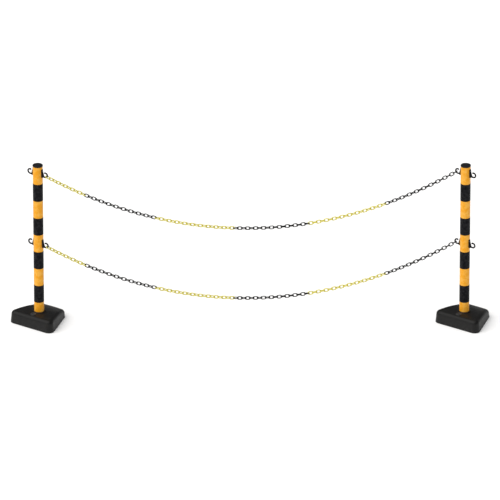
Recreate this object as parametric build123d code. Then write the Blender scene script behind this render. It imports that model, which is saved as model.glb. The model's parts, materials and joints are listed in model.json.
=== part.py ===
"""Two weighted chain stanchions joined by two hung plastic chains.

The origin lies on the floor, at the centre of the set's outline. +X runs along the line of posts,
+Z is up. Each stanchion is modelled about its own post axis, with its hooks along its own X axis,
and is then set down at its place on the floor. All sizes are in millimetres and degrees.
"""
from build123d import *
import math
import os

# ---- The set ----
POST_SPACING = 2540.0
TURN = -34.0                # how far each stanchion is turned about its post

# ---- Base: a hollow rounded trapezoid, widest at the front, its top crowned ----
BASE_FRONT_HALF = 164.0     # half width along the front edge
BASE_BACK_HALF = 86.0
BASE_FRONT = 103.0          # front edge to post axis
BASE_BACK = 154.0           # post axis to the back corners
BACK_BULGE = 8.0            # the back edge bows out past its corners
FRONT_CORNER_R = 34.0
BACK_CORNER_R = 36.0
BASE_TOP = 77.0             # highest line of the crowned top
CROWN_Y = -50.0             # where that line runs
CROWN_R = 640.0             # radius of the crown, falling to the back
BASE_EDGE_R = 24.0          # rounding between wall and top
BASE_LIFT = 2.0             # shell and plate stand clear of the floor, on the pads
BASE_WALL = 4.0
PLATE_THICK = 4.0
FIT_GAP = 0.3               # loose fit between separate pieces
DRAFT = 5.0                 # degrees the walls lean in

# ---- Pads under the base ----
PAD_R = 15.0
PAD_THICK = 4.0
PAD_INSET = 40.0            # pad centre in from the corner of the outline

# ---- Socket for the post, and the collar round its mouth ----
POST_FIT = 0.35             # radial clearance of the post in the socket
SOCKET_WALL = 3.5
SOCKET_FLOOR = 14.0         # height at which the post stands
SOCKET_FLOOR_THICK = 4.0
COLLAR_WIDTH = 10.0
COLLAR_HEIGHT = 3.0
COLLAR_ROOT = 12.0          # how far the collar reaches down into the falling top

# ---- Sand fill ----
FILL_TOP = 52.0

# ---- Filler plug ----
PLUG_OUT = 30.5             # filler centre, out in front of the tube, on the centre line
PLUG_R = 14.0
PLUG_DEPTH = 11.0
PLUG_WALL = 2.5
FLANGE_R = 18.0
FLANGE_THICK = 4.0
SEAL_THICK = 1.5
SEAL_WIDTH = 3.0
SEAT_DEPTH = 3.0            # recess in the base that takes the flange
GRIP_WIDTH = 6.0
GRIP_HEIGHT = 4.0

# ---- Post ----
POST_R = 30.0
POST_WALL = 2.5
BAND = 111.0                # length of one colour band
BAND_COUNT = 9
BAND_VISIBLE_LAST = 65.0    # what shows of the lowest band above the base
SLEEVE_THICK = 0.4
SLEEVE_GAP = 0.05

# ---- Top cap ----
CAP_OVERHANG = 0.9
CAP_RIM = 7.0
CAP_CROWN = 1.6
CAP_EDGE_R = 2.0
SPIGOT_LENGTH = 20.0
SPIGOT_WALL = 2.0
CAP_ROOF = 3.0              # thickness of the cap at the edge of its crown

# ---- Hooks ----
UPPER_HOOK_DROP = 47.0      # ring centre below the top of the tube
LOWER_HOOK_BAND = 4.58      # ring centre, in bands below the top of the tube
HOOK_OUT = 26.0             # ring centre, out from the tube
HOOK_RING_R = 14.0
HOOK_WIRE_R = 4.6
HOOK_TIP_ANGLE = 110.0      # from straight outwards, over the top
HOOK_TIP_BEAD = 5.0
WEB_THICK = 8.4             # rib between the backing and the ring
WEB_SHOULDER = (8.5, 12.0)  # its corner: out from the tube, up from the ring centre
WEB_NECK_ANGLE = 200.0      # where it runs into the ring
BACKING_UP = 32.0           # backing above and below the ring centre
BACKING_DOWN = 19.0
BACKING_TOP_THICK = 3.2
BACKING_LOW_THICK = 11.0
BACKING_WIDTH = 15.0
PEG_R = 3.0
PEG_HEIGHT = -10.0          # locating peg, from the ring centre
SCREW_HEIGHT = 20.0         # screw, from the ring centre
SCREW_R = 1.75
SCREW_HEAD_R = 3.5
SCREW_HEAD_THICK = 2.2
SCREW_LENGTH = 14.0
HOLE_GAP = 0.15

# ---- Chains ----
LINK_WIRE_R = 3.0
LINK_LENGTH = 36.0          # outside
LINK_WIDTH = 24.0           # outside
LINK_PLAY = 0.4             # slack between two links
SEAT_ANGLE = -36.0          # where the end link hangs in the hook's ring
SEAT_PLAY = 1.0             # room between the end link and the hook
CHAIN_SAG = 350.0           # lowest point below the hooks
RUN_SHARES = (11, 19, 20, 19, 20, 20)   # links of one colour in a row
CHAIN_COLOURS = ("yellow", "black")
TWIST = 9.0                 # slow twist of the chain along its length

# ---- Worked out from the sizes above ----
TUBE_TOP = BASE_TOP + BAND_VISIBLE_LAST + (BAND_COUNT - 1) * BAND
TUBE_BORE = POST_R - POST_WALL
PLUG_Y = -POST_R - PLUG_OUT
HOOK_REACH = POST_R + HOOK_OUT
UPPER_HOOK_Z = TUBE_TOP - UPPER_HOOK_DROP
LOWER_HOOK_Z = TUBE_TOP - LOWER_HOOK_BAND * BAND
SOCKET_R = POST_R + POST_FIT
SEAT_FLOOR = BASE_TOP - SEAT_DEPTH
LINK_INNER = LINK_LENGTH - 4 * LINK_WIRE_R
LINK_PITCH = LINK_INNER - LINK_PLAY


def cylinder(radius, low, high, at=(0, 0)):
    """An upright cylinder between two heights."""
    return Pos(at[0], at[1], low) * extrude(Circle(radius), high - low)


# ---------------------------------------------------------------- base
def base_outline(inset=0.0):
    """The base's outline: straight front and sides, bowed back, rounded corners."""
    front_left = (-BASE_FRONT_HALF, -BASE_FRONT)
    front_right = (BASE_FRONT_HALF, -BASE_FRONT)
    back_right = (BASE_BACK_HALF, BASE_BACK)
    back_left = (-BASE_BACK_HALF, BASE_BACK)
    edges = [
        Line(front_left, front_right),
        Line(front_right, back_right),
        ThreePointArc(back_right, (0, BASE_BACK + BACK_BULGE), back_left),
        Line(back_left, front_left),
    ]
    face = make_face(edges)
    corners = face.vertices().sort_by(Axis.Y)
    face = fillet(corners[:2], FRONT_CORNER_R)
    corners = [v for v in face.vertices() if v.Y > BASE_BACK - 1]
    face = fillet(corners, BACK_CORNER_R)
    if inset:
        face = offset(face, -inset)
    return face


def base_body(inset, low, top):
    """A block on the base's outline, leaning in by the draft, under a crowned top."""
    block = Pos(0, 0, low) * extrude(base_outline(inset), top + 1 - low, taper=DRAFT)
    crown = Pos(0, CROWN_Y, top - CROWN_R) * Rot(0, 90, 0) * Cylinder(CROWN_R, 4 * BASE_FRONT_HALF)
    return block & crown


def rounded_body(inset, low, top, edge_radius):
    """The same block with the edge between its walls and its top rounded."""
    block = base_body(inset, low, top)
    return fillet(block.faces().sort_by(Axis.Z)[-1].edges(), edge_radius)


def pad_places():
    """The centres of the four pads, in from the corners of the outline."""
    side = PAD_INSET
    return [
        (-BASE_FRONT_HALF + side, -BASE_FRONT + side),
        (BASE_FRONT_HALF - side, -BASE_FRONT + side),
        (BASE_BACK_HALF - side, BASE_BACK - side),
        (-BASE_BACK_HALF + side, BASE_BACK - side),
    ]


def base_shell():
    """Moulded shell: outer wall, socket with a floor, collar, and the filling hole."""
    outer = rounded_body(0, BASE_LIFT, BASE_TOP, BASE_EDGE_R)
    cavity = rounded_body(BASE_WALL, BASE_LIFT, BASE_TOP - BASE_WALL, BASE_EDGE_R - BASE_WALL)
    shell = outer - cavity
    socket_foot = SOCKET_FLOOR - SOCKET_FLOOR_THICK
    shell += cylinder(SOCKET_R + SOCKET_WALL, socket_foot, BASE_TOP)
    collar_r = SOCKET_R + COLLAR_WIDTH
    collar = cylinder(collar_r, BASE_TOP - COLLAR_ROOT, BASE_TOP + COLLAR_HEIGHT)
    shell += chamfer(collar.edges().sort_by(Axis.Z)[-1], COLLAR_HEIGHT - 1)
    seat = cylinder(FLANGE_R + BASE_WALL, SEAT_FLOOR - BASE_WALL, BASE_TOP, (0, PLUG_Y))
    shell += seat & outer
    shell -= cylinder(SOCKET_R, SOCKET_FLOOR, BASE_TOP + COLLAR_HEIGHT)
    shell -= cylinder(FLANGE_R + FIT_GAP, SEAT_FLOOR, BASE_TOP, (0, PLUG_Y))
    shell -= cylinder(PLUG_R + FIT_GAP, FILL_TOP, BASE_TOP, (0, PLUG_Y))
    return shell


def base_plate():
    """Closing plate inside the shell's foot, with a pocket for each pad."""
    plate = Pos(0, 0, BASE_LIFT) * extrude(base_outline(BASE_WALL + FIT_GAP + 0.5), PLATE_THICK)
    for place in pad_places():
        plate -= cylinder(PAD_R + FIT_GAP, BASE_LIFT, PAD_THICK, place)
    return plate


def base_pads():
    """Four rubber pads that carry the base."""
    pads = []
    for place in pad_places():
        pad = cylinder(PAD_R, 0, PAD_THICK, place)
        pads.append(chamfer(pad.edges().sort_by(Axis.Z)[0], 0.6))
    return Compound(pads)


def sand_fill():
    """Sand inside the shell, round the socket, with air left above it."""
    low = BASE_LIFT + PLATE_THICK
    inset = BASE_WALL + FIT_GAP + low * math.tan(math.radians(DRAFT))
    fill = base_body(inset, low, FILL_TOP)
    socket_foot = SOCKET_FLOOR - SOCKET_FLOOR_THICK
    return fill - cylinder(SOCKET_R + SOCKET_WALL + FIT_GAP, socket_foot - FIT_GAP, FILL_TOP)


def filler_plug():
    """Flanged plug with a hollow spigot and a grip bar across its top."""
    under_flange = SEAT_FLOOR + SEAL_THICK
    flange_top = under_flange + FLANGE_THICK
    at = (0, PLUG_Y)
    flange = cylinder(FLANGE_R, under_flange, flange_top, at)
    plug = fillet(flange.edges().sort_by(Axis.Z)[-1], 1.2)
    plug += cylinder(PLUG_R, SEAT_FLOOR - PLUG_DEPTH, under_flange, at)
    plug -= cylinder(PLUG_R - PLUG_WALL, SEAT_FLOOR - PLUG_DEPTH, under_flange, at)
    grip = Pos(0, PLUG_Y, flange_top) * extrude(
        SlotOverall(1.6 * PLUG_R, GRIP_WIDTH), GRIP_HEIGHT)
    grip = fillet(grip.faces().sort_by(Axis.Z)[-1].edges(), 1.2)
    return plug + grip


def plug_seal():
    """Rubber ring between the plug's flange and its seat."""
    inner = PLUG_R + FIT_GAP
    at = (0, PLUG_Y)
    ring = cylinder(inner + SEAL_WIDTH, SEAT_FLOOR, SEAT_FLOOR + SEAL_THICK, at)
    return ring - cylinder(inner, SEAT_FLOOR, SEAT_FLOOR + SEAL_THICK, at)


# ---------------------------------------------------------------- post
def hook_heights():
    """Ring centres of the upper and the lower pair of hooks."""
    return {"upper": UPPER_HOOK_Z, "lower": LOWER_HOOK_Z}


def radial(shape, side, height):
    """A shape drawn on the +X side at ring centre height, set on one side of the post."""
    turn = 0 if side > 0 else 180
    return Pos(0, 0, height) * Rot(0, 0, turn) * shape


def post_tube():
    """Tube with a peg hole and a screw hole behind each hook."""
    tube = cylinder(POST_R, SOCKET_FLOOR, TUBE_TOP) - cylinder(TUBE_BORE, SOCKET_FLOOR, TUBE_TOP)
    for height in hook_heights().values():
        for side in (1, -1):
            for level, radius in ((PEG_HEIGHT, PEG_R), (SCREW_HEIGHT, SCREW_R)):
                hole = Pos(TUBE_BORE - 2, 0, level) * Rot(0, 90, 0) * extrude(
                    Circle(radius + HOLE_GAP), POST_WALL + 6)
                tube -= radial(hole, side, height)
    return tube


def black_bands():
    """Thin sleeves on every second band, from the second one down."""
    inner = POST_R + SLEEVE_GAP
    sleeves = []
    for index in range(1, BAND_COUNT - 1, 2):
        high = TUBE_TOP - index * BAND
        low = high - BAND
        sleeve = cylinder(inner + SLEEVE_THICK, low, high) - cylinder(inner, low, high)
        sleeves.append(sleeve)
    return Compound(sleeves)


def top_cap():
    """Cap with a rim a little wider than the tube, a slight crown and a hollow spigot."""
    rim_r = POST_R + CAP_OVERHANG
    flat_r = rim_r - CAP_EDGE_R
    spigot_r = TUBE_BORE - FIT_GAP
    hollow_r = spigot_r - SPIGOT_WALL
    rim_top = TUBE_TOP + CAP_RIM
    roof = rim_top - CAP_ROOF
    spigot_low = TUBE_TOP - SPIGOT_LENGTH
    section = make_face([
        Polyline((0, roof), (hollow_r, roof), (hollow_r, spigot_low), (spigot_r, spigot_low),
                 (spigot_r, TUBE_TOP), (rim_r, TUBE_TOP), (rim_r, rim_top - CAP_EDGE_R)),
        CenterArc((flat_r, rim_top - CAP_EDGE_R), CAP_EDGE_R, 0, 90),
        Polyline((flat_r, rim_top), (0, rim_top + CAP_CROWN), (0, roof)),
    ])
    return revolve(Plane.XZ * section, Axis.Z)


def backing_thickness(level):
    """Thickness of a hook's backing at a height from the ring centre."""
    share = (BACKING_UP - level) / (BACKING_UP + BACKING_DOWN)
    return BACKING_TOP_THICK + share * (BACKING_LOW_THICK - BACKING_TOP_THICK)


def hook():
    """Chain hook: wedge-shaped backing that hugs the tube, and a round arm curled up and over."""
    wall = POST_R + SLEEVE_GAP + SLEEVE_THICK + SLEEVE_GAP
    profile = make_face(Polyline(
        (POST_R - 6, -BACKING_DOWN),
        (POST_R + BACKING_LOW_THICK, -BACKING_DOWN),
        (POST_R + BACKING_TOP_THICK, BACKING_UP),
        (POST_R - 6, BACKING_UP),
        close=True))
    backing = extrude(Plane.XZ * profile, BACKING_WIDTH / 2, both=True)
    rounded = [e for e in backing.edges() if e.center().X > POST_R]
    backing = fillet(rounded, 1.5)
    backing -= Pos(0, 0, -BACKING_DOWN) * extrude(Circle(wall), BACKING_DOWN + BACKING_UP)
    ring = Pos(HOOK_REACH, 0, 0)
    neck = math.radians(WEB_NECK_ANGLE)
    outline = make_face(Polyline(
        (POST_R + BACKING_TOP_THICK, BACKING_UP - 6),
        (POST_R + WEB_SHOULDER[0], WEB_SHOULDER[1]),
        (HOOK_REACH + HOOK_RING_R * math.cos(neck), HOOK_RING_R * math.sin(neck)),
        (HOOK_REACH, 0),
        (HOOK_REACH, -HOOK_RING_R),
        (POST_R + 1, -HOOK_RING_R),
        (POST_R + 1, BACKING_UP - 6),
        close=True)) - Pos(HOOK_REACH, 0) * Circle(HOOK_RING_R)
    web = extrude(Plane.XZ * outline, WEB_THICK / 2, both=True)
    start = (POST_R + 3, -HOOK_RING_R)
    path = Line(start, (HOOK_REACH, -HOOK_RING_R)) + CenterArc(
        (HOOK_REACH, 0), HOOK_RING_R, -90, 90 + HOOK_TIP_ANGLE)
    path = Plane.XZ * path
    section = Plane(origin=(start[0], 0, start[1]), z_dir=(1, 0, 0)) * Circle(HOOK_WIRE_R)
    arm = sweep(section, path)
    tip_angle = math.radians(HOOK_TIP_ANGLE)
    tip = ring * Pos(HOOK_RING_R * math.cos(tip_angle), 0, HOOK_RING_R * math.sin(tip_angle))
    arm += tip * Sphere(HOOK_TIP_BEAD)
    peg = Pos(TUBE_BORE - 1.5, 0, PEG_HEIGHT) * Rot(0, 90, 0) * extrude(
        Circle(PEG_R), POST_WALL + 6)
    solid = backing + web + arm + peg
    head_seat = POST_R + backing_thickness(SCREW_HEIGHT) - 1.0
    pocket = Pos(head_seat, 0, SCREW_HEIGHT) * Rot(0, 90, 0) * extrude(
        Circle(SCREW_HEAD_R + FIT_GAP), 8)
    bore = Pos(POST_R - 2, 0, SCREW_HEIGHT) * Rot(0, 90, 0) * extrude(
        Circle(SCREW_R + HOLE_GAP), 12)
    return solid - pocket - bore


def hook_screw():
    """Pan-head screw with a cross recess, pointing at the post's axis."""
    seat = POST_R + backing_thickness(SCREW_HEIGHT) - 1.0
    outward = Pos(seat, 0, SCREW_HEIGHT) * Rot(0, 90, 0)
    head = fillet(extrude(Circle(SCREW_HEAD_R), SCREW_HEAD_THICK).edges().sort_by(Axis.Z)[-1], 1.2)
    shank = Pos(0, 0, -SCREW_LENGTH) * extrude(Circle(SCREW_R), SCREW_LENGTH)
    point = Pos(0, 0, -SCREW_LENGTH - 1.5) * Cone(0.4, SCREW_R, 3)
    screw = head + shank + point
    for turn in (0, 90):
        screw -= Rot(0, 0, turn) * Pos(0, 0, SCREW_HEAD_THICK) * Box(0.9, 3.6, 2.0)
    return outward * screw


# ---------------------------------------------------------------- chain
def link():
    """One chain link along X, lying in the XY plane: two half rings and two straight bars."""
    bend = LINK_WIDTH / 2 - LINK_WIRE_R
    half = LINK_LENGTH / 2 - LINK_WIRE_R - bend
    section = Pos(half, bend, 0) * Rot(0, 90, 0) * Circle(LINK_WIRE_R)
    end = revolve(section, Axis((half, 0, 0), (0, 0, 1)), -180)
    bar = Pos(-half, bend, 0) * Rot(0, 90, 0) * extrude(Circle(LINK_WIRE_R), 2 * half)
    return end + mirror(end, Plane.YZ) + bar + mirror(bar, Plane.XZ)


def seat_point(centre, outward, height):
    """Where a chain hangs in the ring of a hook that points outwards from its post."""
    angle = math.radians(SEAT_ANGLE)
    reach = HOOK_REACH + HOOK_RING_R * math.cos(angle)
    place = centre + outward * reach
    return Vector(place.X, place.Y, height + HOOK_RING_R * math.sin(angle))


def link_count(span):
    """Links in a chain that hangs across a span by its sag, by the parabola's length."""
    return round((span + 8 * CHAIN_SAG ** 2 / (3 * span)) / LINK_PITCH)


def chain_curve(start, finish):
    """Joints between the links on the catenary that the whole chain hangs in."""
    along = Vector(finish.X - start.X, finish.Y - start.Y, 0)
    direction = along.normalized()
    count = link_count(along.length)
    length = count * LINK_PITCH
    setback = LINK_INNER / 2 - HOOK_WIRE_R - SEAT_PLAY - LINK_PITCH / 2
    slope = 0.5
    for _ in range(40):
        back = setback * math.cos(math.atan(slope))
        rise = -setback * math.sin(math.atan(slope))
        span = along.length - 2 * back
        low, high = span / 10, span * 10
        for _ in range(80):
            scale = (low + high) / 2
            if 2 * scale * math.sinh(span / (2 * scale)) > length:
                low = scale
            else:
                high = scale
        slope = math.sinh(span / (2 * scale))
    top = scale * math.cosh(span / (2 * scale))
    joints = []
    for index in range(count + 1):
        arc = -length / 2 + index * LINK_PITCH
        across = scale * math.asinh(arc / scale)
        drop = top - scale * math.cosh(across / scale)
        place = start + direction * (back + span / 2 + across)
        joints.append(Vector(place.X, place.Y, start.Z + rise - drop))
    return joints


def chain_rolls(joints, outward):
    """Roll of each link about the chain: flat and upright in turn, square to the hook at the ends."""
    angle = math.radians(SEAT_ANGLE)
    wire = outward * -math.sin(angle) + Vector(0, 0, math.cos(angle))
    tangent = (joints[1] - joints[0]).normalized()
    side = Vector(0, 0, 1).cross(tangent).normalized()
    up = tangent.cross(side)
    end_roll = math.degrees(math.atan2(wire.dot(side), wire.dot(up)))
    rolls = []
    count = len(joints) - 1
    for index in range(count):
        share = index / (count - 1)
        ends = (1 - 2 * share) ** 5
        slow = TWIST * math.sin(4 * math.pi * share) * math.sin(math.pi * share)
        rolls.append(end_roll * ends + slow + 90 * (index % 2))
    return rolls


def chain_runs(start, finish, outward):
    """The chain's links, gathered into its runs of one colour."""
    joints = chain_curve(start, finish)
    rolls = chain_rolls(joints, outward)
    master = link()
    placed = []
    count = len(rolls)
    for index in range(count):
        middle = (joints[index] + joints[index + 1]) * 0.5
        tangent = (joints[index + 1] - joints[index]).normalized()
        side = Vector(0, 0, 1).cross(tangent).normalized()
        up = tangent.cross(side)
        roll = math.radians(rolls[index])
        normal = side * math.sin(roll) + up * math.cos(roll)
        placed.append(Plane(origin=middle, x_dir=tangent, z_dir=normal).location * master)
    ends = [round(count * sum(RUN_SHARES[:run]) / sum(RUN_SHARES))
            for run in range(len(RUN_SHARES) + 1)]
    return [Compound(placed[first:last]) for first, last in zip(ends, ends[1:])]


# ---------------------------------------------------------------- assembly
def stanchion():
    """Every piece of one stanchion, about its own post axis."""
    pieces = {
        "base_shell": base_shell(),
        "base_plate": base_plate(),
        "base_pads": base_pads(),
        "sand_fill": sand_fill(),
        "filler_plug": filler_plug(),
        "plug_seal": plug_seal(),
        "post_tube": post_tube(),
        "black_bands": black_bands(),
        "top_cap": top_cap(),
    }
    screws = []
    for level, height in hook_heights().items():
        for side, name in ((-1, "left"), (1, "right")):
            pieces[f"{level}_{name}_hook"] = radial(hook(), side, height)
            screws.append(radial(hook_screw(), side, height))
    pieces["hook_screws"] = Compound(screws)
    return pieces


def build():
    """Place both stanchions, hang the chains between them, and return every node."""
    pieces = stanchion()
    outline = Rot(0, 0, TURN) * pieces["base_shell"]
    middle = outline.bounding_box().center()
    centres = {
        "left": Vector(-POST_SPACING / 2 - middle.X, -middle.Y, 0),
        "right": Vector(POST_SPACING / 2 - middle.X, -middle.Y, 0),
    }
    nodes = {}
    for name, centre in centres.items():
        place = Location(centre, (0, 0, TURN))
        for piece, shape in pieces.items():
            nodes[f"{name}_{piece}"] = place * shape
    outward = Vector(1, 0, 0).rotate(Axis.Z, TURN)
    for level, height in hook_heights().items():
        start = seat_point(centres["left"], outward, height)
        finish = seat_point(centres["right"], outward * -1, height)
        print(level, "chain hangs from", start, "to", finish)
        print("links", link_count((finish - start).length))
        for index, run in enumerate(chain_runs(start, finish, outward)):
            colour = CHAIN_COLOURS[index % 2]
            nodes[f"{level}_chain_run_{index + 1}_{colour}"] = run
    for name, centre in centres.items():
        print(name, "post axis at", centre)
    return nodes


os.makedirs("parts", exist_ok=True)
for node_name, node_shape in build().items():
    export_step(node_shape, f"parts/{node_name}.step")
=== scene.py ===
import json
import math

import bmesh
import bpy
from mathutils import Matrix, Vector


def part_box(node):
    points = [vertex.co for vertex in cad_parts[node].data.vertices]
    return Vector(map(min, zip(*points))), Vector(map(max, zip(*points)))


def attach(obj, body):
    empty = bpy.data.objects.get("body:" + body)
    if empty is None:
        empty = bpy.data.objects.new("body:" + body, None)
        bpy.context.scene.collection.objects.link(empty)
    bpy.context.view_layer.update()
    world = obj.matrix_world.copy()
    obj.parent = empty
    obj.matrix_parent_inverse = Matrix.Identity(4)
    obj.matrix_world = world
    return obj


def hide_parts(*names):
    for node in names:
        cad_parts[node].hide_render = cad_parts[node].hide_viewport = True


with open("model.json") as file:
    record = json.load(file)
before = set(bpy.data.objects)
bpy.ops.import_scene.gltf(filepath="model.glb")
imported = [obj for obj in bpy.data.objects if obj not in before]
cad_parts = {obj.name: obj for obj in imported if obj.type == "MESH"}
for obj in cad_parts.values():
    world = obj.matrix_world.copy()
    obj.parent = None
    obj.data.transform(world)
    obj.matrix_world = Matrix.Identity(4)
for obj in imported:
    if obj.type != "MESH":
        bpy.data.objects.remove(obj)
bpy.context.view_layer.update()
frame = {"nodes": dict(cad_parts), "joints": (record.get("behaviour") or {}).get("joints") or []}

# ------------------------------------------------------------------ camera, floor and light
# The set stands on a plain pale floor in front of a pale surround, seen from slightly above and
# from far away through a long lens, so that both posts stay upright. One broad lamp on the left
# gives the soft shadow that each base throws to its right. The surround is dark to reflections,
# as behind black flags, so that the black plastics stay black.
MM = 0.001
scene = bpy.context.scene
left_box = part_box("left_post_tube")
right_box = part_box("right_post_tube")
left_axis = (left_box[0] + left_box[1]) / 2
right_axis = (right_box[0] + right_box[1]) / 2
set_middle = (left_axis + right_axis) / 2

CAMERA_RISE = math.radians(25.5)
CAMERA_LENS = 690.0
CAMERA_AWAY = 57.1
AIM_LEFT = 0.0101
AIM_HEIGHT = 0.4775
aim = Vector((set_middle.x - AIM_LEFT, set_middle.y, AIM_HEIGHT))
back = Vector((0, -math.cos(CAMERA_RISE), math.sin(CAMERA_RISE)))
camera_data = bpy.data.cameras.new("camera")
camera_data.lens = CAMERA_LENS
camera_data.sensor_width = 36.0
camera_data.clip_start = 1.0
camera_data.clip_end = 150.0
camera = bpy.data.objects.new("camera", camera_data)
camera.location = aim + back * CAMERA_AWAY
camera.rotation_mode = "QUATERNION"
camera.rotation_quaternion = (-back).to_track_quat("-Z", "Y")
scene.collection.objects.link(camera)
scene.camera = camera

FLOOR_HALF = 60.0
SURROUND_COLOUR = (0.98, 0.985, 1.0, 1)
SURROUND_FILL = 0.62
SURROUND_IN_REFLECTIONS = 0.12
KEY_HEADING = (0.95, 0.55, -1.5)
KEY_SPREAD = 75.0
KEY_STRENGTH = 2.6
KEY_COLOUR = (1.0, 0.985, 0.96)
floor_mesh = bpy.data.meshes.new("floor")
floor_mesh.from_pydata(
    [(-FLOOR_HALF, -FLOOR_HALF, 0), (FLOOR_HALF, -FLOOR_HALF, 0),
     (FLOOR_HALF, FLOOR_HALF, 0), (-FLOOR_HALF, FLOOR_HALF, 0)], [], [(0, 1, 2, 3)])
floor = bpy.data.objects.new("floor", floor_mesh)
scene.collection.objects.link(floor)

floor_finish = bpy.data.materials.new("pale_floor")
floor_finish.use_nodes = True
floor_shader = floor_finish.node_tree.nodes["Principled BSDF"]
floor_shader.inputs["Base Color"].default_value = (0.93, 0.93, 0.93, 1)
floor_shader.inputs["Roughness"].default_value = 0.9
floor_shader.inputs["Specular IOR Level"].default_value = 0.1
floor_mesh.materials.append(floor_finish)

surround = bpy.data.worlds.new("surround")
surround.use_nodes = True
sky = surround.node_tree.nodes["Background"]
sky.inputs["Color"].default_value = SURROUND_COLOUR
seen_by = surround.node_tree.nodes.new("ShaderNodeLightPath")
for_gloss = surround.node_tree.nodes.new("ShaderNodeMapRange")
for_gloss.inputs["To Min"].default_value = SURROUND_FILL
for_gloss.inputs["To Max"].default_value = SURROUND_IN_REFLECTIONS
surround.node_tree.links.new(seen_by.outputs["Is Glossy Ray"], for_gloss.inputs["Value"])
for_camera = surround.node_tree.nodes.new("ShaderNodeMath")
for_camera.operation = "MAXIMUM"
surround.node_tree.links.new(seen_by.outputs["Is Camera Ray"], for_camera.inputs[0])
surround.node_tree.links.new(for_gloss.outputs["Result"], for_camera.inputs[1])
surround.node_tree.links.new(for_camera.outputs["Value"], sky.inputs["Strength"])
scene.world = surround
scene.view_settings.view_transform = "Standard"


def broad_lamp(name, heading, spread, strength, colour):
    """An even light from one direction, as soft as its spread in degrees is wide."""
    data = bpy.data.lights.new(name, "SUN")
    data.angle = math.radians(spread)
    data.energy = strength
    data.color = colour
    light = bpy.data.objects.new(name, data)
    light.location = (0, 0, 5)
    light.rotation_mode = "QUATERNION"
    light.rotation_quaternion = Vector(heading).to_track_quat("-Z", "Y")
    scene.collection.objects.link(light)
    return light


broad_lamp("key_lamp", KEY_HEADING, KEY_SPREAD, KEY_STRENGTH, KEY_COLOUR)


# ------------------------------------------------------------------ moulded base
# Each foot is a hollow polyethylene moulding filled with ballast, with a closing plate and rubber
# pads underneath. Its skin has the fine grain of a textured mould, the edges are rubbed a little
# paler and a trace of dust lies on the crowned top.
def new_material(name, roughness, specular=0.5):
    """A material with its shader's plain values set."""
    material = bpy.data.materials.new(name)
    material.use_nodes = True
    nodes = material.node_tree.nodes
    shader = nodes["Principled BSDF"]
    shader.inputs["Roughness"].default_value = roughness
    shader.inputs["Specular IOR Level"].default_value = specular
    return material, nodes, material.node_tree.links, shader


def group_sockets(tree, inputs, outputs):
    """Named inputs with their defaults, and named outputs, on a node group."""
    for name, kind, value in inputs:
        socket = tree.interface.new_socket(name, in_out="INPUT", socket_type=kind)
        if value is not None:
            socket.default_value = value
    for name, kind in outputs:
        tree.interface.new_socket(name, in_out="OUTPUT", socket_type=kind)


def node(tree, kind, settings=None, **inputs):
    """Adds a node, sets its properties, and feeds its inputs from values or other sockets."""
    made = tree.nodes.new(kind)
    for key, value in (settings or {}).items():
        setattr(made, key, value)
    for key, value in inputs.items():
        at = int(key[1:]) if key[0] == "i" and key[1:].isdigit() else key.replace("_", " ")
        socket = made.inputs[at]
        if isinstance(value, bpy.types.NodeSocket):
            tree.links.new(value, socket)
        else:
            socket.default_value = value
    return made


def sums(tree, operation, first, second=0.0, third=0.0):
    """One Math node, for shaders and for geometry alike."""
    return node(tree, "ShaderNodeMath", {"operation": operation}, i0=first, i1=second,
                i2=third).outputs[0]


NUMBER = "NodeSocketFloat"
VECTOR = "NodeSocketVector"

# Rubbed edges: the mask is strong where the surface bends sharply and where noise lets it through.
worn_edges = bpy.data.node_groups.new("worn_edges", "ShaderNodeTree")
group_sockets(
    worn_edges,
    [("Position", VECTOR, None), ("Patch Size", NUMBER, 60.0), ("Edge Start", NUMBER, 0.52),
     ("Edge Full", NUMBER, 0.62)],
    [("Mask", NUMBER)])
into = worn_edges.nodes.new("NodeGroupInput")
out = worn_edges.nodes.new("NodeGroupOutput")
bend = node(worn_edges, "ShaderNodeNewGeometry").outputs["Pointiness"]
edge = node(worn_edges, "ShaderNodeMapRange", Value=bend, From_Min=into.outputs["Edge Start"],
            From_Max=into.outputs["Edge Full"]).outputs["Result"]
patches = node(worn_edges, "ShaderNodeTexNoise", Vector=into.outputs["Position"],
               Scale=into.outputs["Patch Size"], Detail=5.0, Roughness=0.65).outputs["Fac"]
broken = node(worn_edges, "ShaderNodeMapRange", Value=patches, From_Min=0.42,
              From_Max=0.62).outputs["Result"]
worn_edges.links.new(sums(worn_edges, "MULTIPLY", edge, broken), out.inputs["Mask"])

# Scuffs: thin broken streaks in two directions, a little paler than the plastic.
scuffs = bpy.data.node_groups.new("scuffs", "ShaderNodeTree")
group_sockets(
    scuffs,
    [("Position", VECTOR, None), ("Fineness", NUMBER, 90.0), ("Stretch", NUMBER, 9.0),
     ("Amount", NUMBER, 0.5)],
    [("Mask", NUMBER), ("Height", NUMBER)])
into = scuffs.nodes.new("NodeGroupInput")
out = scuffs.nodes.new("NodeGroupOutput")
streaks = []
for turn in (0.5, 2.2):
    turned = node(scuffs, "ShaderNodeVectorRotate", {"rotation_type": "EULER_XYZ"},
                  Vector=into.outputs["Position"], Rotation=(turn, turn / 2, turn)).outputs[0]
    squeeze = node(scuffs, "ShaderNodeCombineXYZ", X=1.0, Y=into.outputs["Stretch"], Z=1.0)
    pulled = node(scuffs, "ShaderNodeVectorMath", {"operation": "MULTIPLY"}, i0=turned,
                  i1=squeeze.outputs[0]).outputs[0]
    lines = node(scuffs, "ShaderNodeTexNoise", Vector=pulled, Scale=into.outputs["Fineness"],
                 Detail=3.0, Roughness=0.6, Distortion=0.4).outputs["Fac"]
    streaks.append(node(scuffs, "ShaderNodeMapRange", Value=lines, From_Min=0.63,
                        From_Max=0.72).outputs["Result"])
both = sums(scuffs, "MAXIMUM", streaks[0], streaks[1])
where = node(scuffs, "ShaderNodeTexNoise", Vector=into.outputs["Position"], Scale=9.0,
             Detail=2.0).outputs["Fac"]
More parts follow.
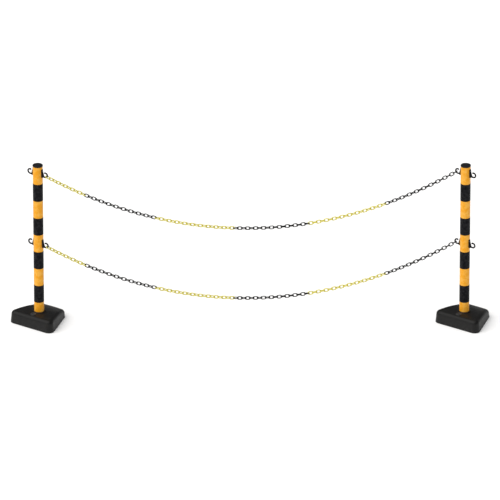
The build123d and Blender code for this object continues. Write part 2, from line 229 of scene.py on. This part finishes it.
where = node(scuffs, "ShaderNodeMapRange", Value=where, From_Min=0.45,
             From_Max=0.7).outputs["Result"]
mask = sums(scuffs, "MULTIPLY", sums(scuffs, "MULTIPLY", both, where), into.outputs["Amount"])
scuffs.links.new(mask, out.inputs["Mask"])
scuffs.links.new(sums(scuffs, "MULTIPLY", mask, -1.0), out.inputs["Height"])

# Mould grain: small even pebbling on textured plastic, and slow waves from uneven cooling.
mould_grain = bpy.data.node_groups.new("mould_grain", "ShaderNodeTree")
group_sockets(
    mould_grain,
    [("Position", VECTOR, None), ("Pebble Size", NUMBER, 900.0), ("Pebble Height", NUMBER, 0.6),
     ("Wave Size", NUMBER, 14.0), ("Wave Height", NUMBER, 0.4)],
    [("Height", NUMBER), ("Tone", NUMBER)])
into = mould_grain.nodes.new("NodeGroupInput")
out = mould_grain.nodes.new("NodeGroupOutput")
pebbles = node(mould_grain, "ShaderNodeTexVoronoi", {"feature": "SMOOTH_F1"},
               Vector=into.outputs["Position"], Scale=into.outputs["Pebble Size"],
               Smoothness=0.7).outputs["Distance"]
waves = node(mould_grain, "ShaderNodeTexNoise", Vector=into.outputs["Position"],
             Scale=into.outputs["Wave Size"], Detail=2.0).outputs["Fac"]
height = sums(mould_grain, "MULTIPLY", pebbles, into.outputs["Pebble Height"])
height = sums(mould_grain, "MULTIPLY_ADD", waves, into.outputs["Wave Height"], height)
mould_grain.links.new(height, out.inputs["Height"])
mould_grain.links.new(waves, out.inputs["Tone"])

# Dust: settles on faces that look upwards, in soft patches.
dust = bpy.data.node_groups.new("dust", "ShaderNodeTree")
group_sockets(dust, [("Position", VECTOR, None), ("Amount", NUMBER, 0.3)], [("Mask", NUMBER)])
into = dust.nodes.new("NodeGroupInput")
out = dust.nodes.new("NodeGroupOutput")
facing = node(dust, "ShaderNodeSeparateXYZ",
              Vector=node(dust, "ShaderNodeNewGeometry").outputs["Normal"]).outputs["Z"]
upward = node(dust, "ShaderNodeMapRange", Value=facing, From_Min=0.6, From_Max=1.0)
clouds = node(dust, "ShaderNodeTexNoise", Vector=into.outputs["Position"], Scale=22.0, Detail=6.0,
              Roughness=0.7).outputs["Fac"]
clouds = node(dust, "ShaderNodeMapRange", Value=clouds, From_Min=0.35, From_Max=0.75)
mask = sums(dust, "MULTIPLY", upward.outputs["Result"], clouds.outputs["Result"])
dust.links.new(sums(dust, "MULTIPLY", mask, into.outputs["Amount"]), out.inputs["Mask"])


def use_group(tree, group, **inputs):
    """Places a shared effect in a material."""
    made = tree.nodes.new("ShaderNodeGroup")
    made.node_tree = group
    for key, value in inputs.items():
        socket = made.inputs[key.replace("_", " ")]
        if isinstance(value, bpy.types.NodeSocket):
            tree.links.new(value, socket)
        else:
            socket.default_value = value
    return made.outputs


def tint(tree, mask, under, over):
    """Blends a colour over another by a mask."""
    mix = node(tree, "ShaderNodeMix", {"data_type": "RGBA"}, Factor=mask)
    for at, colour in ((6, under), (7, over)):
        if isinstance(colour, bpy.types.NodeSocket):
            tree.links.new(colour, mix.inputs[at])
        else:
            mix.inputs[at].default_value = (*colour, 1)
    return mix.outputs[2]


def plastic(name, colour, deep, pale, roughness, pebble=(900.0, 0.5), wear=(60.0, 0.52, 0.62),
            scuff=(90.0, 0.5), dusty=0.25, bump=0.15, waves=(14.0, 0.4), specular=0.5):
    """Moulded plastic: tone that drifts, mould grain, scuffs, rubbed edges and dust."""
    material, nodes, links, shader = new_material(name, roughness, specular)
    tree = material.node_tree
    here = nodes.new("ShaderNodeTexCoord").outputs["Object"]
    grain = use_group(tree, mould_grain, Position=here, Pebble_Size=pebble[0],
                      Pebble_Height=pebble[1], Wave_Size=waves[0], Wave_Height=waves[1])
    rubbed = use_group(tree, worn_edges, Position=here, Patch_Size=wear[0], Edge_Start=wear[1],
                       Edge_Full=wear[2])["Mask"]
    marks = use_group(tree, scuffs, Position=here, Fineness=scuff[0], Amount=scuff[1])
    settled = use_group(tree, dust, Position=here, Amount=dusty)["Mask"]
    tone = node(tree, "ShaderNodeMapRange", Value=grain["Tone"], From_Min=0.3, From_Max=0.7)
    base = tint(tree, tone.outputs["Result"], deep, colour)
    base = tint(tree, marks["Mask"], base, pale)
    base = tint(tree, sums(tree, "MULTIPLY", rubbed, 0.7), base, pale)
    base = tint(tree, settled, base, (0.40, 0.39, 0.38))
    links.new(base, shader.inputs["Base Color"])
    rough = sums(tree, "MULTIPLY_ADD", marks["Mask"], 0.25, roughness)
    rough = sums(tree, "MULTIPLY_ADD", settled, 0.5, rough)
    rough = sums(tree, "MULTIPLY_ADD", grain["Tone"], 0.10, rough)
    links.new(rough, shader.inputs["Roughness"])
    relief = sums(tree, "ADD", grain["Height"], marks["Height"])
    raised = node(tree, "ShaderNodeBump", Strength=bump, Distance=0.0006, Height=relief)
    links.new(raised.outputs["Normal"], shader.inputs["Normal"])
    return material


def finish_node(name, material):
    """Gives a CAD piece its finish."""
    piece = frame["nodes"][name]
    piece.data.materials.clear()
    piece.data.materials.append(material)
    return piece


SIDES = ("left", "right")
base_finish = plastic("base_polyethylene", (0.0075, 0.0072, 0.007), (0.0065, 0.0064, 0.0062),
                      (0.03, 0.03, 0.029), 0.42, pebble=(700.0, 0.8), dusty=0.01, bump=0.3,
                      specular=0.22)
plate_finish = plastic("plate_polyethylene", (0.035, 0.035, 0.035), (0.025, 0.025, 0.025),
                       (0.12, 0.12, 0.12), 0.55)
pad_finish = plastic("pad_rubber", (0.022, 0.022, 0.022), (0.016, 0.016, 0.016),
                     (0.08, 0.08, 0.08), 0.8, pebble=(1500.0, 0.6))
sand_finish = plastic("ballast", (0.55, 0.44, 0.28), (0.40, 0.31, 0.19), (0.7, 0.6, 0.45), 0.95,
                      pebble=(1200.0, 1.0), bump=0.8)
for side in SIDES:
    finish_node(f"{side}_base_shell", base_finish)
    finish_node(f"{side}_base_plate", plate_finish)
    finish_node(f"{side}_base_pads", pad_finish)
    finish_node(f"{side}_sand_fill", sand_finish)

# ------------------------------------------------------------------ filler plug and its seal
# A flanged polyethylene plug with a grip bar closes the filling hole in front of the post. It is
# pushed in by hand on a rubber ring, and its grip is rubbed by fingers.
plug_finish = plastic("plug_polyethylene", (0.026, 0.026, 0.026), (0.022, 0.022, 0.022),
                      (0.08, 0.08, 0.08), 0.36, pebble=(1100.0, 0.4), dusty=0.04)
seal_finish = plastic("seal_rubber", (0.02, 0.02, 0.02), (0.014, 0.014, 0.014),
                      (0.06, 0.06, 0.06), 0.7)
for side in SIDES:
    finish_node(f"{side}_filler_plug", plug_finish)
    finish_node(f"{side}_plug_seal", seal_finish)

# ------------------------------------------------------------------ post tube and its bands
# The post is a smooth extruded tube in warning yellow, standing loose in the base's socket. Black
# sleeves are shrunk on every second band, so they stand a hair proud and show faint wrinkles.
tube_finish = plastic("post_yellow_pvc", (0.74, 0.31, 0.010), (0.73, 0.30, 0.009),
                      (0.80, 0.44, 0.08), 0.30, pebble=(400.0, 0.08), wear=(40.0, 0.53, 0.6),
                      scuff=(60.0, 0.1), dusty=0.0, bump=0.03, waves=(6.0, 0.2), specular=0.14)
sleeve_finish = plastic("band_black_film", (0.004, 0.004, 0.0055), (0.003, 0.003, 0.004),
                        (0.02, 0.02, 0.022), 0.30, pebble=(300.0, 0.12), scuff=(70.0, 0.1),
                        dusty=0.0, bump=0.03, waves=(20.0, 0.2), specular=0.05)
for side in SIDES:
    finish_node(f"{side}_post_tube", tube_finish)
    finish_node(f"{side}_black_bands", sleeve_finish)

# ------------------------------------------------------------------ top cap
# A black moulded cap closes the top of the tube. It is pushed in by hand, and its rim is a touch
# wider than the tube, with a rubbed edge.
cap_finish = plastic("cap_plastic", (0.006, 0.006, 0.007), (0.005, 0.005, 0.006),
                     (0.05, 0.05, 0.05), 0.38, pebble=(1300.0, 0.35), dusty=0.03, specular=0.2)
for side in SIDES:
    finish_node(f"{side}_top_cap", cap_finish)

# ------------------------------------------------------------------ chain hooks and their screws
# Four black nylon hooks are fixed to each post, each by a moulded peg and one pan-head screw with
# a cross recess. The round arm curls outwards and up, and chains polish its lower bend.
hook_finish = plastic("hook_nylon", (0.005, 0.005, 0.006), (0.004, 0.004, 0.005),
                      (0.04, 0.04, 0.04), 0.40, pebble=(1600.0, 0.3), wear=(110.0, 0.58, 0.70),
                      dusty=0.0, specular=0.1)
screw_finish = plastic("screw_steel", (0.09, 0.09, 0.095), (0.06, 0.06, 0.065),
                       (0.35, 0.34, 0.33), 0.35, pebble=(2500.0, 0.2))
for side in SIDES:
    for level in ("upper", "lower"):
        for hand in SIDES:
            finish_node(f"{side}_{level}_{hand}_hook", hook_finish)

HOOK_TURN = math.radians(-34.0)
SCREW_SEAT = 34.035 * MM
SCREW_ABOVE_RING = 20.0 * MM
BACKING_BELOW_RING = 19.0 * MM
SCREW_SIDES = 20


def grown(name, tree, values):
    """Runs a geometry tree with its named inputs set, and keeps the result as a plain mesh."""
    seed_mesh = bpy.data.meshes.new(name)
    piece = bpy.data.objects.new(name, seed_mesh)
    scene.collection.objects.link(piece)
    modifier = piece.modifiers.new(name, "NODES")
    modifier.node_group = tree
    for socket in tree.interface.items_tree:
        if socket.in_out == "INPUT" and socket.name in values:
            modifier[socket.identifier] = values[socket.name]
    depsgraph = bpy.context.evaluated_depsgraph_get()
    made = bpy.data.meshes.new_from_object(piece.evaluated_get(depsgraph), depsgraph=depsgraph)
    piece.modifiers.clear()
    piece.data = made
    made.name = name
    bpy.data.meshes.remove(seed_mesh)
    return piece


def vectors(tree, operation, first, second=None, scale=None):
    """One Vector Math node."""
    made = node(tree, "ShaderNodeVectorMath", {"operation": operation}, i0=first)
    if second is not None:
        tree.links.new(second, made.inputs[1])
    if scale is not None:
        tree.links.new(scale, made.inputs["Scale"])
    return made.outputs[0]


def screw_shape():
    """One screw along +Z with its seat at the origin: point, shank, pan head and cross recess."""
    work = bmesh.new()
    profile = [(0.4, -17.0), (1.75, -14.0), (1.75, 0.0), (3.5, 0.0), (3.5, 1.0), (3.34, 1.55),
               (2.9, 2.0), (2.2, 2.2)]
    rings = []
    for radius, level in profile:
        turns = [2 * math.pi * k / SCREW_SIDES for k in range(SCREW_SIDES)]
        rings.append([work.verts.new((radius * MM * math.cos(t), radius * MM * math.sin(t),
                                      level * MM)) for t in turns])
    for low_ring, high_ring in zip(rings, rings[1:]):
        for k in range(SCREW_SIDES):
            after = (k + 1) % SCREW_SIDES
            work.faces.new((low_ring[k], low_ring[after], high_ring[after], high_ring[k]))
    work.faces.new(rings[0])
    far, near = 1.8, 0.45
    cross = [(far, -near), (far, near), (near, near), (near, far), (-near, far), (-near, near),
             (-far, near), (-far, -near), (-near, -near), (-near, -far), (near, -far),
             (near, -near)]
    mouth = [work.verts.new((x * MM, y * MM, 2.2 * MM)) for x, y in cross]
    pit = [work.verts.new((0.8 * x * MM, 0.8 * y * MM, 1.2 * MM)) for x, y in cross]
    for k in range(12):
        after = (k + 1) % 12
        work.faces.new((mouth[k], mouth[after], pit[after], pit[k]))
    work.faces.new(pit)
    rim = [work.edges.get((loop[k - 1], loop[k])) for loop in (mouth, rings[-1])
           for k in range(len(loop))]
    bmesh.ops.triangle_fill(work, use_beauty=True, edges=rim)
    bmesh.ops.triangulate(work, faces=[face for face in work.faces if len(face.verts) > 4])
    bmesh.ops.recalc_face_normals(work, faces=work.faces[:])
    mesh = bpy.data.meshes.new("screw_shape")
    work.to_mesh(mesh)
    work.free()
    return mesh


screw_set = bpy.data.node_groups.new("hook_screw_set", "GeometryNodeTree")
screw_set.is_modifier = True
screw_set.interface.new_socket("Geometry", in_out="OUTPUT", socket_type="NodeSocketGeometry")
group_sockets(
    screw_set,
    [("Post Axis", VECTOR, None), ("Turn", NUMBER, HOOK_TURN), ("Seat Radius", NUMBER, SCREW_SEAT),
     ("Upper Height", NUMBER, 1.0), ("Lower Height", NUMBER, 0.5),
     ("Screw", "NodeSocketObject", None), ("Seed", "NodeSocketInt", 3),
     ("Metal", "NodeSocketMaterial", None)],
    [])
into = screw_set.nodes.new("NodeGroupInput").outputs
out = screw_set.nodes.new("NodeGroupOutput")
number = node(screw_set, "GeometryNodeInputIndex").outputs[0]
half_turns = sums(screw_set, "MULTIPLY", sums(screw_set, "MODULO", number, 2.0), math.pi)
angle = sums(screw_set, "ADD", half_turns, into["Turn"])
is_upper = sums(screw_set, "LESS_THAN", number, 1.5)
step = sums(screw_set, "SUBTRACT", into["Upper Height"], into["Lower Height"])
height = sums(screw_set, "MULTIPLY_ADD", is_upper, step, into["Lower Height"])
away = node(screw_set, "ShaderNodeCombineXYZ", X=sums(screw_set, "COSINE", angle),
            Y=sums(screw_set, "SINE", angle), Z=0.0).outputs[0]
lifted = node(screw_set, "ShaderNodeCombineXYZ", X=0.0, Y=0.0, Z=height).outputs[0]
spot = vectors(screw_set, "ADD", into["Post Axis"], vectors(
    screw_set, "ADD", lifted, vectors(screw_set, "SCALE", away, scale=into["Seat Radius"])))
spin = node(screw_set, "FunctionNodeRandomValue", {"data_type": "FLOAT"}, i2=0.0, i3=math.pi / 2,
            ID=number, Seed=into["Seed"]).outputs[1]
upright = node(screw_set, "ShaderNodeCombineXYZ", X=0.0, Y=0.0, Z=1.0).outputs[0]
level_way = vectors(screw_set, "CROSS_PRODUCT", upright, away)
slot_way = vectors(screw_set, "ADD",
                   vectors(screw_set, "SCALE", upright, scale=sums(screw_set, "COSINE", spin)),
                   vectors(screw_set, "SCALE", level_way, scale=sums(screw_set, "SINE", spin)))
turned = node(screw_set, "FunctionNodeAxesToRotation", {"primary_axis": "Z", "secondary_axis": "X"},
              i0=away, i1=slot_way).outputs[0]
master = node(screw_set, "GeometryNodeObjectInfo", Object=into["Screw"]).outputs["Geometry"]
places = node(screw_set, "GeometryNodePoints", Count=4, Position=spot).outputs[0]
driven = node(screw_set, "GeometryNodeInstanceOnPoints", Points=places, Instance=master,
              Rotation=turned).outputs[0]
driven = node(screw_set, "GeometryNodeRealizeInstances", Geometry=driven).outputs[0]
driven = node(screw_set, "GeometryNodeSetMaterial", Geometry=driven,
              Material=into["Metal"]).outputs[0]
screw_set.links.new(driven, out.inputs["Geometry"])

screw_model = bpy.data.objects.new("screw_model", screw_shape())
scene.collection.objects.link(screw_model)
for side, axis in (("left", left_axis), ("right", right_axis)):
    heights = [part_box(f"{side}_{level}_{side}_hook")[0].z + BACKING_BELOW_RING + SCREW_ABOVE_RING
               for level in ("upper", "lower")]
    screws = grown(f"{side}_hook_screw_heads", screw_set, {
        "Post Axis": Vector((axis.x, axis.y, 0)), "Turn": HOOK_TURN, "Seat Radius": SCREW_SEAT,
        "Upper Height": heights[0], "Lower Height": heights[1], "Screw": screw_model,
        "Seed": 3, "Metal": screw_finish})
    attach(screws, f"{side}_post")
    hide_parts(f"{side}_hook_screws")
bpy.data.objects.remove(screw_model)

# ------------------------------------------------------------------ chains
# Each chain is 109 oval polyethylene links, moulded through one another in runs of yellow and of
# black. It hangs from one hook to the other in its own catenary, and the links lie flat and
# upright in turn, with a slow twist along the way.
LINK_LENGTH = 36.0 * MM
LINK_WIDTH = 24.0 * MM
LINK_WIRE = 6.0 * MM
LINK_INNER = LINK_LENGTH - 2 * LINK_WIRE
LINK_PLAY = 0.4 * MM
LINK_PITCH = LINK_INNER - LINK_PLAY
CHAIN_RUNS = (("yellow", 11), ("black", 19), ("yellow", 20), ("black", 19), ("yellow", 20),
              ("black", 20))
LINK_COUNT = sum(count for _, count in CHAIN_RUNS)
CHAIN_TWIST = 9.0
HOOK_REACH = 56.0 * MM
HOOK_RING = 14.0 * MM
HOOK_WIRE = 9.2 * MM
SEAT_ANGLE = math.radians(-36.0)
SEAT_PLAY = 1.0 * MM

chain_run = bpy.data.node_groups.new("hung_chain_run", "GeometryNodeTree")
chain_run.is_modifier = True
chain_run.interface.new_socket("Geometry", in_out="OUTPUT",
                               socket_type="NodeSocketGeometry")
group_sockets(
    chain_run,
    [("Lowest Point", VECTOR, None), ("Heading", VECTOR, None), ("Curve Scale", NUMBER, 2.3),
     ("Pitch", NUMBER, LINK_PITCH), ("Links In Chain", "NodeSocketInt", LINK_COUNT),
     ("First Link", "NodeSocketInt", 0), ("Links In Run", "NodeSocketInt", 1),
     ("Link Length", NUMBER, LINK_LENGTH), ("Link Width", NUMBER, LINK_WIDTH),
     ("Wire", NUMBER, LINK_WIRE), ("End Roll", NUMBER, 0.0), ("Twist", NUMBER, CHAIN_TWIST),
     ("Seed", "NodeSocketInt", 7), ("Plastic", "NodeSocketMaterial", None)],
    [])
into = chain_run.nodes.new("NodeGroupInput").outputs
out = chain_run.nodes.new("NodeGroupOutput")


def arith(operation, first, second=0.0, third=0.0):
    """A Math node in the chain's tree."""
    return sums(chain_run, operation, first, second, third)


def vector_sum(operation, first, second=None, scale=None):
    """A Vector Math node in the chain's tree."""
    return vectors(chain_run, operation, first, second, scale)


number = node(chain_run, "GeometryNodeInputIndex").outputs[0]
place_in_chain = arith("ADD", number, into["First Link"])
half_count = arith("MULTIPLY", into["Links In Chain"], 0.5)
arc = arith("MULTIPLY", arith("SUBTRACT", arith("ADD", place_in_chain, 0.5), half_count),
            into["Pitch"])
scale = into["Curve Scale"]
hypotenuse = arith("SQRT", arith("MULTIPLY_ADD", arc, arc, arith("MULTIPLY", scale, scale)))
across = arith("MULTIPLY", scale, arith(
    "LOGARITHM", arith("DIVIDE", arith("ADD", arc, hypotenuse), scale), math.e))
rise = arith("SUBTRACT", hypotenuse, scale)
upright = node(chain_run, "ShaderNodeCombineXYZ", X=0.0, Y=0.0, Z=1.0).outputs[0]
spot = vector_sum("ADD", into["Lowest Point"], vector_sum(
    "ADD", vector_sum("SCALE", into["Heading"], scale=across),
    vector_sum("SCALE", upright, scale=rise)))
tangent = vector_sum("ADD", vector_sum("SCALE", into["Heading"],
                                       scale=arith("DIVIDE", scale, hypotenuse)),
                     vector_sum("SCALE", upright, scale=arith("DIVIDE", arc, hypotenuse)))
sideways = vector_sum("CROSS_PRODUCT", upright, into["Heading"])
upwards = vector_sum("CROSS_PRODUCT", tangent, sideways)
share = arith("DIVIDE", place_in_chain, arith("SUBTRACT", into["Links In Chain"], 1.0))
from_middle = arith("MULTIPLY_ADD", share, -2.0, 1.0)
end_turn = arith("MULTIPLY", into["End Roll"], arith("POWER", from_middle, 5.0))
slow_turn = arith("MULTIPLY", arith("MULTIPLY", arith("SINE", arith("MULTIPLY", share, 4 * math.pi)),
                                    arith("SINE", arith("MULTIPLY", share, math.pi))),
                  into["Twist"])
quarter_turn = arith("MULTIPLY", arith("MODULO", place_in_chain, 2.0), 90.0)
roll = arith("RADIANS", arith("ADD", arith("ADD", end_turn, slow_turn), quarter_turn))
flat_normal = vector_sum("ADD", vector_sum("SCALE", sideways, scale=arith("SINE", roll)),
                         vector_sum("SCALE", upwards, scale=arith("COSINE", roll)))
turn = node(chain_run, "FunctionNodeAxesToRotation", {"primary_axis": "Z", "secondary_axis": "X"},
            i0=flat_normal, i1=tangent).outputs[0]

oval = node(chain_run, "GeometryNodeCurvePrimitiveQuadrilateral", {"mode": "RECTANGLE"},
            i0=arith("SUBTRACT", into["Link Length"], into["Wire"]),
            i1=arith("SUBTRACT", into["Link Width"], into["Wire"])).outputs[0]
corner = arith("MULTIPLY", arith("SUBTRACT", into["Link Width"], into["Wire"]), 0.4995)
oval = node(chain_run, "GeometryNodeFilletCurve", {"mode": "POLY"}, Curve=oval, Radius=corner,
            Count=4).outputs[0]
ring = node(chain_run, "GeometryNodeCurvePrimitiveCircle", {"mode": "RADIUS"}, Resolution=8,
            Radius=arith("MULTIPLY", into["Wire"], 0.5)).outputs[0]
link = node(chain_run, "GeometryNodeCurveToMesh", Curve=oval, Profile_Curve=ring).outputs[0]
link = node(chain_run, "GeometryNodeSetShadeSmooth", Geometry=link).outputs[0]
dots = node(chain_run, "GeometryNodePoints", Count=into["Links In Run"], Position=spot).outputs[0]
hung = node(chain_run, "GeometryNodeInstanceOnPoints", Points=dots, Instance=link,
            Rotation=turn).outputs[0]
tone = node(chain_run, "FunctionNodeRandomValue", {"data_type": "FLOAT"}, i2=0.0, i3=1.0,
            ID=place_in_chain, Seed=into["Seed"]).outputs[1]
hung = node(chain_run, "GeometryNodeStoreNamedAttribute",
            {"data_type": "FLOAT", "domain": "INSTANCE"}, Geometry=hung, Name="link_tone",
            Value=tone).outputs[0]
solid = node(chain_run, "GeometryNodeRealizeInstances", Geometry=hung).outputs[0]
solid = node(chain_run, "GeometryNodeSetMaterial", Geometry=solid,
             Material=into["Plastic"]).outputs[0]
chain_run.links.new(solid, out.inputs["Geometry"])


def link_plastic(name, colour, deep, pale, roughness):
    """Moulded link plastic, each link a little different in tone."""
    material = plastic(name, colour, deep, pale, roughness, pebble=(1800.0, 0.3),
                       wear=(150.0, 0.60, 0.75), scuff=(160.0, 0.3), dusty=0.0, specular=0.2)
    tree = material.node_tree
    shader = tree.nodes["Principled BSDF"]
    was = shader.inputs["Base Color"].links[0].from_socket
    tone = node(tree, "ShaderNodeAttribute", {"attribute_name": "link_tone"}).outputs["Fac"]
    faded = tint(tree, sums(tree, "MULTIPLY", tone, 0.30), was, pale)
    tree.links.new(faded, shader.inputs["Base Color"])
    return material


chain_finish = {
    "yellow": link_plastic("chain_yellow_plastic", (0.60, 0.53, 0.07), (0.55, 0.48, 0.05),
                           (0.66, 0.62, 0.22), 0.32),
    "black": link_plastic("chain_black_plastic", (0.006, 0.006, 0.006), (0.005, 0.005, 0.005),
                          (0.03, 0.03, 0.03), 0.34),
}
# The end links sit in the rings of the two hooks that face each other, so the span of the
# catenary and the roll of its end links follow from the rings.
outward = Vector((math.cos(HOOK_TURN), math.sin(HOOK_TURN), 0))
ring_reach = HOOK_REACH + HOOK_RING * math.cos(SEAT_ANGLE)
seat_span = (right_axis - left_axis - 2 * ring_reach * outward)
seat_span.z = 0
setback = LINK_INNER / 2 - HOOK_WIRE / 2 - SEAT_PLAY - LINK_PITCH / 2
chain_length = LINK_COUNT * LINK_PITCH
slope = 0.5
for _ in range(40):
    span = seat_span.length - 2 * setback * math.cos(math.atan(slope))
    low_scale, high_scale = span / 10, span * 10
    for _ in range(80):
        curve_scale = (low_scale + high_scale) / 2
        if 2 * curve_scale * math.sinh(span / (2 * curve_scale)) > chain_length:
            low_scale = curve_scale
        else:
            high_scale = curve_scale
    slope = math.sinh(span / (2 * curve_scale))
end_rise = -setback * math.sin(math.atan(slope))
end_drop = curve_scale * math.cosh(span / (2 * curve_scale)) - curve_scale
heading = seat_span.normalized()
first_arc = LINK_PITCH / 2 - chain_length / 2
first_tangent = (heading * curve_scale + Vector((0, 0, first_arc))).normalized()
first_side = Vector((0, 0, 1)).cross(first_tangent).normalized()
first_up = first_tangent.cross(first_side)
ring_wire = outward * -math.sin(SEAT_ANGLE) + Vector((0, 0, math.cos(SEAT_ANGLE)))
end_roll = math.degrees(math.atan2(ring_wire.dot(first_side), ring_wire.dot(first_up)))

hinges = {joint["name"]: joint for joint in frame["joints"]}
for level in ("upper", "lower"):
    seats_middle = Vector(hinges[f"{level}_chain_swing"]["pos_m"])
    lowest = seats_middle + Vector((0, 0, end_rise - end_drop))
    first = 0
    for number, (colour, count) in enumerate(CHAIN_RUNS, 1):
        name = f"{level}_chain_run_{number}_{colour}"
        run = grown(f"{name}_links", chain_run, {
            "Lowest Point": lowest, "Heading": heading, "Curve Scale": curve_scale,
            "Pitch": LINK_PITCH, "Links In Chain": LINK_COUNT, "First Link": first,
            "Links In Run": count, "Link Length": LINK_LENGTH, "Link Width": LINK_WIDTH,
            "Wire": LINK_WIRE, "End Roll": end_roll, "Twist": CHAIN_TWIST,
            "Seed": 7, "Plastic": chain_finish[colour]})
        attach(run, f"{level}_chain")
        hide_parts(name)
        first += count
